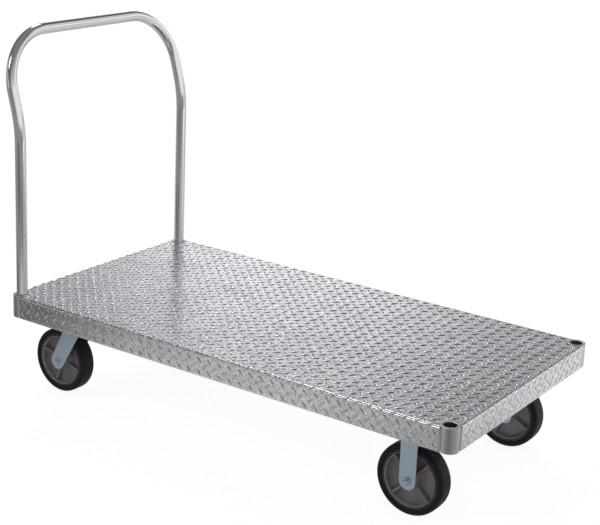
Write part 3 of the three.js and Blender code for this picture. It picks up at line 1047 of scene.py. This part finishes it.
def fork_legs(shell, at, rear, front, top, end_x):
    place = at @ Matrix.Rotation(math.pi / 2, 4, "X")
    outline = leg_outline(rear, front, top, end_x)
    for low in (-FORK_INSIDE / 2 - FORK_WALL, FORK_INSIDE / 2):
        shell.prism(outline, low, low + FORK_WALL, 0.9 * MM, place)


def leg_welds(shell, at, z, rear, front):
    """A bead along each leg's outer face, under what the leg hangs from."""
    for face in (-1, 1):
        y = face * (FORK_INSIDE / 2 + FORK_WALL)
        weld_bead(shell, at @ Vector((rear, y, z)), at @ Vector((front, y, z)), 2.6 * MM)


def bolt_plate(shell, node, at):
    low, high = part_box(node)
    outline = rounded(rectangle((high.x - low.x) / 2, (high.y - low.y) / 2), 9 * MM, 5)
    shell.prism(outline, PLATE_UNDER, CASTER_HEIGHT, 0.8 * MM, at)


def plate_bolts(name, at):
    """Four hex bolts through the bolt plate, with their heads below and nuts above the bolster's web."""
    shell = Shell()
    web_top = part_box("caster_bolster_rear")[0].z + BOLSTER_WALL
    radius = 4.9 * MM
    ring = 1.8 * MM
    flats = 16 * MM
    end = web_top + 13 * MM
    for sx in (1, -1):
        for sy in (1, -1):
            hole = Matrix.Translation((sx * PLATE_HOLES[0], sy * PLATE_HOLES[1], 0))
            place = at @ hole @ Matrix.Rotation(0.3 * sx + 0.5 * sy, 4, "Z")
            hex_solid(shell, flats, PLATE_UNDER - 8 * MM, PLATE_UNDER - ring, 1.2 * MM, place)
            hex_solid(shell, flats, web_top + ring, web_top + ring + 8 * MM, 1.2 * MM, place)
            for low in (PLATE_UNDER - ring, web_top):
                washer(shell, 5.3 * MM, 10 * MM, low, low + ring, place, 0.4 * MM)
            bolt = [(radius, PLATE_UNDER - 2 * MM), (radius, end - 1 * MM), (4 * MM, end)]
            shell.stack(bolt, 20, place)
    piece(f"plate_bolts_{name}", shell, ZINC, "deck")


def grease_fitting(name, body, at, direction):
    """A small nipple: a hexagon, a neck and a ball."""
    shell = Shell()
    place = Matrix.Translation(at) @ direction.to_track_quat("Z", "Y").to_matrix().to_4x4()
    hex_solid(shell, 8 * MM, -1 * MM, 4 * MM, 0.6 * MM, place)
    profile = [(2.9, 3.5), (2.5, 5), (2, 6.5), (2.2, 7), (3, 8), (3.2, 9), (2.9, 10), (2, 10.8), (0.8, 11)]
    shell.stack([(r * MM, z * MM) for r, z in profile], 20, place)
    piece(f"grease_fitting_{name}", shell, STEEL, body)


def rigid_caster(side_name):
    node = f"rigid_fork_{side_name}"
    at = upright(middle_of(node))
    shell = Shell()
    bolt_plate(shell, node, at)
    fork_legs(shell, at, -RIGID_LEG_HALF, RIGID_LEG_HALF, PLATE_UNDER + 1 * MM, 0)
    weld_half = RIGID_LEG_HALF - 2 * MM
    leg_welds(shell, at, PLATE_UNDER - 0.6 * MM, -weld_half, weld_half)
    piece(f"rigid_fork_pressed_{side_name}", shell, ZINC, "deck", [node])
    plate_bolts(f"front_{side_name}", at)


def swivel_plate(side_name, at):
    """The bolt plate with the round raceway pressed down in its middle."""
    node = f"swivel_plate_{side_name}"
    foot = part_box(node)[0].z
    root = PLATE_UNDER + 1 * MM
    shell = Shell()
    bolt_plate(shell, node, at)
    raceway = [(9 * MM, root), (9 * MM, foot), (42 * MM, foot), (45 * MM, root)]
    shell.spin(rounded(raceway, [0.5 * MM, 0.5 * MM, 3 * MM, 3 * MM], 4), 64, at)
    piece(f"swivel_plate_pressed_{side_name}", shell, ZINC, "deck", [node])


def ball_race(side_name, at):
    """A ring of balls outside a thin cage."""
    node = f"swivel_ball_race_{side_name}"
    low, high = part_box(node)
    middle = (low.z + high.z) / 2
    radius = (high.z - low.z) / 2
    levels = np.linspace(-0.49 * math.pi, 0.49 * math.pi, 9)
    ball = [(radius * math.cos(a), middle + radius * math.sin(a)) for a in levels]
    shell = Shell()
    washer(shell, 34 * MM, 36 * MM, low.z, high.z, at, 0.4 * MM)
    count = 26
    for k in range(count):
        turn = Matrix.Rotation(2 * math.pi * k / count, 4, "Z")
        shell.stack(ball, 14, at @ turn @ Matrix.Translation((38 * MM, 0, 0)))
    piece(f"swivel_balls_{side_name}", shell, STEEL, f"swivel_{side_name}", [node])


def kingpin(side_name, at):
    """A headed pin, threaded below, and the nut on it."""
    low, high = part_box(f"kingpin_{side_name}")
    nut_low, nut_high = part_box(f"kingpin_nut_{side_name}")
    radius = 8 * MM
    head = 13.5 * MM
    head_foot = high.z - 5 * MM
    sections = [(7 * MM, low.z), (radius, low.z + 1 * MM)]
    z = low.z + 1.4 * MM
    while z < nut_high.z:
        sections.append((7.2 * MM, z))
        sections.append((radius, z + 1 * MM))
        z += 2 * MM
    sections += [(radius, head_foot), (13 * MM, head_foot + 0.3 * MM), (head, head_foot + 1 * MM)]
    sections += [(head, high.z - 1 * MM), (12.6 * MM, high.z)]
    pin = Shell()
    pin.stack(sections, 32, at)
    piece(f"kingpin_threaded_{side_name}", pin, ZINC, "deck", [f"kingpin_{side_name}"])
    nut = Shell()
    hex_ring(nut, 24 * MM, 8.3 * MM, nut_low.z, nut_high.z, at)
    piece(f"kingpin_locknut_{side_name}", nut, ZINC, "deck", [f"kingpin_nut_{side_name}"])


def swivel_fork(side_name, centre, at):
    """A disc under the balls with two legs that lean back to the axle, and its grease fitting."""
    body = f"swivel_{side_name}"
    low = SWIVEL_DISC_LOW
    high = low + FORK_WALL
    bore = 8.5 * MM
    shell = Shell()
    disc = [(bore, low), (SWIVEL_DISC_RADIUS, low), (SWIVEL_DISC_RADIUS, high), (bore, high)]
    shell.spin(rounded(disc, [0.5 * MM, 2.2 * MM, 1.5 * MM, 0.5 * MM], 4), 72, at)
    trail = middle_of(f"tyre_rear_{side_name}").x - centre.x
    fork_legs(shell, at, *SWIVEL_LEG, low + 2 * MM, trail)
    leg_welds(shell, at, low - 0.4 * MM, -24 * MM, 23 * MM)
    node = f"swivel_fork_{side_name}"
    piece(f"swivel_fork_pressed_{side_name}", shell, ZINC, body, [node])
    grease_at = at @ Vector((2 * MM - SWIVEL_DISC_RADIUS, 0, (low + high) / 2))
    grease_fitting(f"swivel_{side_name}", body, grease_at, Vector((-1, 0, 0)))


def swivel_caster(side_name):
    centre = middle_of(f"kingpin_{side_name}")
    at = upright(centre)
    swivel_plate(side_name, at)
    plate_bolts(f"rear_{side_name}", at)
    ball_race(side_name, at)
    kingpin(side_name, at)
    swivel_fork(side_name, centre, at)


for side_name in SIDES:
    rigid_caster(side_name)
    swivel_caster(side_name)

# ---- studio


class Light:
    """Nodes that work out one brightness from a position or a direction."""

    def __init__(self, tree, vector):
        self.tree = tree
        self.vector = vector
        self.x, self.y, self.z = self.node("ShaderNodeSeparateXYZ", vector).outputs
        self.level = self.vector_maths("NORMALIZE", self.vector_maths("MULTIPLY", vector, (1, 1, 0)))

    def node(self, kind, *values):
        """A node with the values fed to its first inputs."""
        made = self.tree.nodes.new(kind)
        for value, socket in zip(values, made.inputs):
            feed(self.tree, value, socket)
        return made

    def vector_maths(self, operation, *values):
        made = self.node("ShaderNodeVectorMath", *values)
        made.operation = operation
        return made.outputs["Value" if operation in ("DOT_PRODUCT", "DISTANCE") else "Vector"]

    def maths(self, operation, *values):
        made = self.node("ShaderNodeMath", *values)
        made.operation = operation
        return made.outputs[0]

    def ramp(self, value, low, high):
        """0 at the low value, 1 at the high one and smooth between them. They may be either way round."""
        ends = (low, high, 0, 1) if low < high else (high, low, 1, 0)
        made = self.node("ShaderNodeMapRange", value, *ends)
        made.interpolation_type = "SMOOTHSTEP"
        return made.outputs[0]

    def climb(self, low, high):
        """0 at the low elevation in degrees and 1 at the high one, for a vector that is a direction."""
        return self.ramp(self.z, math.sin(math.radians(low)), math.sin(math.radians(high)))

    def facing(self, azimuth, full, none):
        """1 towards an azimuth in degrees from +Y to -X, and 0 past an angle from it."""
        turn = math.radians(azimuth)
        along = self.vector_maths("DOT_PRODUCT", self.level, (-math.sin(turn), math.cos(turn), 0))
        return self.ramp(along, math.cos(math.radians(none)), math.cos(math.radians(full)))

    def pool(self, x, y, radius):
        """A round patch on the floor: 1 round its middle and 0 at its radius."""
        return self.ramp(self.vector_maths("DISTANCE", self.vector, (x, y, 0)), radius, 0.2 * radius)

    def unless_seen(self, value, white):
        """The value as other surfaces meet it, and plain white where it is looked at directly."""
        seen = self.tree.nodes.new("ShaderNodeLightPath").outputs["Is Camera Ray"]
        made = self.tree.nodes.new("ShaderNodeMix")
        for name, given in (("Factor", seen), ("A", value), ("B", white)):
            feed(self.tree, given, made.inputs[name])
        return made.outputs["Result"]


def studio_floor():
    """A pale floor past the view on every side, with pools of light painted into its glow, as lamps round
    the truck would light it.
    """
    mesh = bpy.data.meshes.new("studio_floor")
    corners = [(x, y, 0) for x, y in rectangle(FLOOR_REACH, FLOOR_REACH)]
    mesh.from_pydata(corners, [], [(0, 1, 2, 3)])
    floor = bpy.data.objects.new("studio_floor", mesh)
    bpy.context.scene.collection.objects.link(floor)
    finish = Finish("pale_floor", 0.3, 0.9, Specular_IOR_Level=0.0, Emission_Color=(1, 1, 1, 1))
    light = Light(finish.tree, finish.where)
    level = light.maths("MULTIPLY_ADD", light.ramp(light.y, *FLOOR_BACK), FLOOR_RISE, FLOOR_DARK)
    for x, y, radius, gain in FLOOR_POOLS:
        level = light.maths("MULTIPLY_ADD", light.pool(x, y, radius), gain, level)
    level = light.maths("MAXIMUM", level, FLOOR_LEAST)
    feed(finish.tree, light.unless_seen(level, FLOOR_WHITE), finish.shader.inputs["Emission Strength"])
    mesh.materials.append(finish.material)


def studio_world():
    """Surroundings that are dim high up and brighter low down, with the lamps' bright patches."""
    world = bpy.data.worlds.new("studio")
    bpy.context.scene.world = world
    world.use_nodes = True
    tree = world.node_tree
    background = next(n for n in tree.nodes if n.type == "BACKGROUND")
    light = Light(tree, tree.nodes.new("ShaderNodeTexCoord").outputs["Generated"])
    total = light.maths("MULTIPLY_ADD", light.climb(*CEILING_EDGE), CEILING_GLOW, SKY_DARK)
    camera_side = light.maths("MULTIPLY", light.facing(*CAMERA_SIDE), light.climb(*CAMERA_SIDE_EDGE))
    total = light.maths("MULTIPLY_ADD", camera_side, CAMERA_SIDE_GLOW, total)
    low = LOW_GLOW
    for azimuth, full, none, gain in LOW_PATCHES:
        low = light.maths("MULTIPLY_ADD", light.facing(azimuth, full, none), gain, low)
    total = light.maths("MULTIPLY_ADD", low, light.climb(*LOW_EDGE), total)
    for azimuth, half_width, bottom, top, gain in LAMPS:
        lit = light.maths("MULTIPLY", light.facing(azimuth, half_width, half_width + LAMP_EDGE), gain)
        lit = light.maths("MULTIPLY", lit, light.climb(bottom, bottom + LAMP_EDGE))
        lit = light.maths("MULTIPLY", lit, light.climb(top + LAMP_EDGE, top))
        total = light.maths("ADD", total, lit)
    feed(tree, light.unless_seen(total, 1.0), background.inputs["Strength"])
    background.inputs["Color"].default_value = (0.98, 0.99, 1.0, 1)


def camera():
    """The viewpoint: beside the right front corner, a little above the deck, with a rising front."""
    lens = bpy.data.cameras.new("camera")
    lens.sensor_width = 36
    lens.lens = CAMERA_LENS
    lens.shift_y = CAMERA_SHIFT
    lens.clip_end = 500
    seen = bpy.data.objects.new("camera", lens)
    bpy.context.scene.collection.objects.link(seen)
    turn = Matrix.Rotation(CAMERA_AZIMUTH, 4, "Z") @ Matrix.Rotation(math.pi / 2 - CAMERA_PITCH, 4, "X")
    seen.matrix_world = Matrix.Translation(CAMERA_AT) @ turn @ Matrix.Rotation(CAMERA_ROLL, 4, "Z")
    bpy.context.scene.camera = seen


studio_floor()
studio_world()
camera()
bpy.context.scene.view_settings.view_transform = "Standard"
